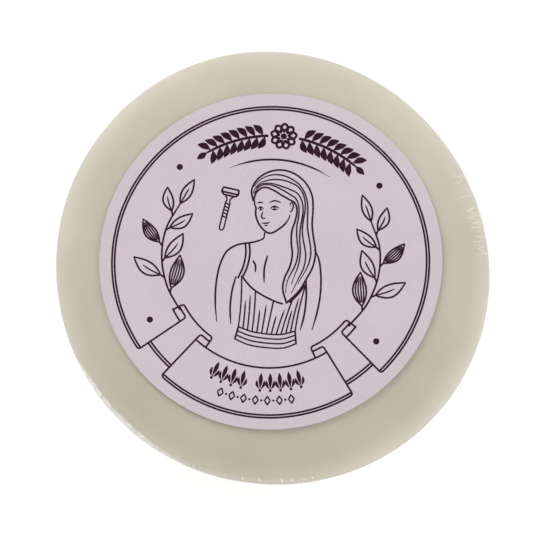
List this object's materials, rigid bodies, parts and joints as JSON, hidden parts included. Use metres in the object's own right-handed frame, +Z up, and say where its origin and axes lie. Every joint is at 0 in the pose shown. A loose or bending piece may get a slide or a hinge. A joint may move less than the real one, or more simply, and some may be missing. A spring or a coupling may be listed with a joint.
{
  "type": "wrapped shaving soap puck",
  "caption": "Round pebble-shaped cake of shaving soap in tight clear shrink film, with a decorated round paper label on top and a plain one below.",
  "frame": {"origin": "middle of the underside, on the outer face of the back label", "axes": "+Z up along the cake's axis of revolution, towards the front label; +Y towards the top of the front label's artwork"},
  "size_m": [0.0779, 0.078, 0.0224],
  "materials": {
    "soap": "hard milled soap, ivory, slightly translucent, satin",
    "clear_film": "clear shrink film, glossy, finely wrinkled round the side",
    "welded_film": "melted and rehardened film, translucent",
    "front_paper": "uncoated lilac paper, printed with plum line art",
    "back_paper": "uncoated lilac paper"
  },
  "bodies": {
    "root": {"soap_cake": "soap", "shrink_film": "clear_film", "weld_bead": "welded_film", "front_label": "front_paper", "back_label": "back_paper"}
  },
  "joints": []
}
